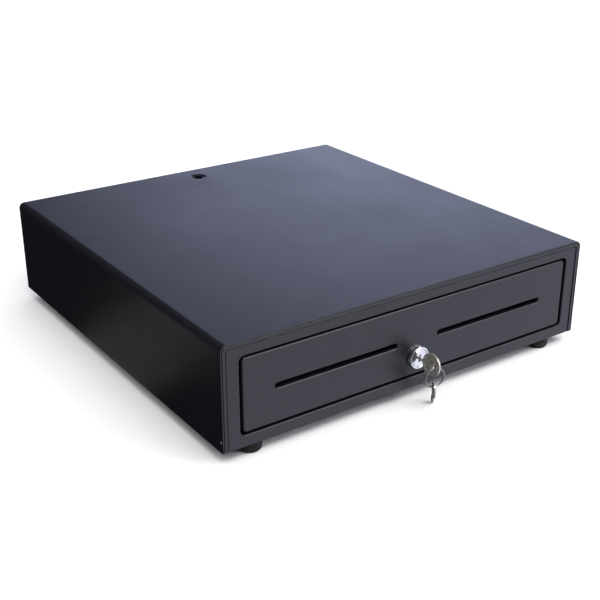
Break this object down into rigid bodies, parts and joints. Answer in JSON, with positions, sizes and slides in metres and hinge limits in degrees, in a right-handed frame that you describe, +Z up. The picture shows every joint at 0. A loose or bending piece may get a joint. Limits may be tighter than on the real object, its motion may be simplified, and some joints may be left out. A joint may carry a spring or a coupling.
{
  "type": "cash drawer",
  "caption": "Low black metal cash drawer: folded housing on rubber feet, drawer on ball slides with media slots, key lock and keys, and a till with bill clips and coin cups.",
  "frame": {"origin": "middle of the overall box, keys included, on the surface that the feet stand on", "axes": "+Y from the front of the drawer to the rear, +Z up, +X to the right as seen from the front"},
  "size_m": [0.4112, 0.4517, 0.1095],
  "materials": {
    "black_paint": "fine-textured black powder coat",
    "zinc_steel": "bright zinc plate",
    "chrome": "polished chrome plate",
    "nickel": "worn nickel plate",
    "spring_steel": "drawn spring wire",
    "black_abs": "fine-grained moulded ABS",
    "grey_abs": "fine-grained moulded ABS",
    "white_nylon": "natural nylon",
    "rubber": "matt black rubber",
    "coil_tape": "amber insulating tape over the winding"
  },
  "bodies": {
    "housing": {"top_shell": "black_paint", "front_bezel": "black_paint", "base_pan": "black_paint", "rear_panel": "black_paint", "shell_rivets": "zinc_steel", "base_screws": "zinc_steel", "rear_screws": "zinc_steel", "foot_front_left": "rubber", "foot_front_right": "rubber", "foot_rear_left": "rubber", "foot_rear_right": "rubber", "foot_screws": "zinc_steel", "rail_bracket_left": "zinc_steel", "rail_bracket_right": "zinc_steel", "slide_outer_left": "zinc_steel", "slide_outer_right": "zinc_steel", "rail_screws": "zinc_steel", "latch_bracket": "zinc_steel", "latch_pivot_pin": "spring_steel", "latch_spring": "spring_steel", "solenoid_frame": "zinc_steel", "solenoid_coil": "coil_tape", "kicker_guide": "black_abs", "kicker_spring": "spring_steel", "switch_body": "black_abs", "cable_jack": "black_abs"},
    "drawer": {"drawer_front": "black_paint", "drawer_pan": "black_paint", "striker_bracket": "zinc_steel", "striker_pin": "spring_steel", "drawer_screws": "zinc_steel", "slide_inner_left": "zinc_steel", "slide_inner_right": "zinc_steel", "slide_rivets": "zinc_steel", "lock_barrel": "chrome", "lock_nut": "zinc_steel", "till_tray": "black_abs", "bill_dividers": "black_abs", "coin_tray": "grey_abs", "clip_rod": "spring_steel", "clip_springs": "spring_steel"},
    "lock_plug": {"lock_plug": "chrome", "lock_cam": "zinc_steel", "cam_screw": "zinc_steel", "inserted_key": "nickel"},
    "key_ring": {"key_ring": "spring_steel"},
    "spare_key": {"spare_key": "nickel"},
    "cage_left": {"slide_cage_left": "spring_steel", "slide_balls_left": "chrome"},
    "cage_right": {"slide_cage_right": "spring_steel", "slide_balls_right": "chrome"},
    "latch": {"latch": "zinc_steel"},
    "solenoid_plunger": {"solenoid_plunger": "spring_steel"},
    "kicker": {"kicker_plunger": "white_nylon"},
    "switch_lever": {"switch_lever": "spring_steel"},
    "bill_clip_1": {"bill_clip_1": "black_abs"},
    "bill_clip_2": {"bill_clip_2": "black_abs"},
    "bill_clip_3": {"bill_clip_3": "black_abs"},
    "bill_clip_4": {"bill_clip_4": "black_abs"},
    "bill_clip_5": {"bill_clip_5": "black_abs"}
  },
  "joints": [
    {"name": "drawer_slide", "type": "slide", "parent": "housing", "child": "drawer", "axis": [0, -1, 0], "range_m": [0, 0.3]},
    {"name": "cage_left_roll", "type": "slide", "parent": "housing", "child": "cage_left", "axis": [0, -1, 0], "range_m": [0, 0.15]},
    {"name": "cage_right_roll", "type": "slide", "parent": "housing", "child": "cage_right", "axis": [0, -1, 0], "range_m": [0, 0.15]},
    {"name": "lock_turn", "type": "hinge", "parent": "drawer", "child": "lock_plug", "pos_m": [0, -0.19555, 0.0415], "axis": [0, 1, 0], "range_deg": [-90, 90]},
    {"name": "ring_swing", "type": "hinge", "parent": "lock_plug", "child": "key_ring", "pos_m": [0, -0.21955, 0.04035], "axis": [1, 0, 0], "range_deg": [-40, 10]},
    {"name": "spare_key_swing", "type": "hinge", "parent": "key_ring", "child": "spare_key", "pos_m": [0, -0.21955, 0.02165], "axis": [0.8192, -0.5736, 0], "range_deg": [-50, 10]},
    {"name": "latch_pivot", "type": "hinge", "parent": "housing", "child": "latch", "pos_m": [0.0095, 0.21245, 0.0375], "axis": [0, 0, 1], "range_deg": [-18, 0], "deforming": ["latch_spring"]},
    {"name": "plunger_slide", "type": "slide", "parent": "housing", "child": "solenoid_plunger", "axis": [1, 0, 0], "range_m": [-0.0042, 0]},
    {"name": "kicker_slide", "type": "slide", "parent": "housing", "child": "kicker", "axis": [0, -1, 0], "range_m": [0, 0.0141], "deforming": ["kicker_spring"]},
    {"name": "switch_lever_pivot", "type": "hinge", "parent": "housing", "child": "switch_lever", "pos_m": [0.0965, 0.18945, 0.0372], "axis": [0, 0, 1], "range_deg": [-15, 0]},
    {"name": "bill_clip_1_hinge", "type": "hinge", "parent": "drawer", "child": "bill_clip_1", "pos_m": [-0.14208, 0.17245, 0.08], "axis": [-1, 0, 0], "range_deg": [0, 28], "stiffness_Nm_per_rad": 0.03, "springref_deg": -28.65},
    {"name": "bill_clip_2_hinge", "type": "hinge", "parent": "drawer", "child": "bill_clip_2", "pos_m": [-0.07104, 0.17245, 0.08], "axis": [-1, 0, 0], "range_deg": [0, 28], "stiffness_Nm_per_rad": 0.03, "springref_deg": -28.65},
    {"name": "bill_clip_3_hinge", "type": "hinge", "parent": "drawer", "child": "bill_clip_3", "pos_m": [0, 0.17245, 0.08], "axis": [-1, 0, 0], "range_deg": [0, 28], "stiffness_Nm_per_rad": 0.03, "springref_deg": -28.65},
    {"name": "bill_clip_4_hinge", "type": "hinge", "parent": "drawer", "child": "bill_clip_4", "pos_m": [0.07104, 0.17245, 0.08], "axis": [-1, 0, 0], "range_deg": [0, 28], "stiffness_Nm_per_rad": 0.03, "springref_deg": -28.65},
    {"name": "bill_clip_5_hinge", "type": "hinge", "parent": "drawer", "child": "bill_clip_5", "pos_m": [0.14208, 0.17245, 0.08], "axis": [-1, 0, 0], "range_deg": [0, 28], "stiffness_Nm_per_rad": 0.03, "springref_deg": -28.65}
  ],
  "couplings": [
    {"joint": "cage_left_roll", "follows": "drawer_slide", "ratio": 0.5},
    {"joint": "cage_right_roll", "follows": "drawer_slide", "ratio": 0.5},
    {"joint": "kicker_slide", "follows": "drawer_slide", "ratio": 0.046},
    {"joint": "switch_lever_pivot", "follows": "drawer_slide", "rad_per_m": -0.87},
    {"joint": "plunger_slide", "follows": "latch_pivot", "m_per_rad": 0.011804}
  ]
}
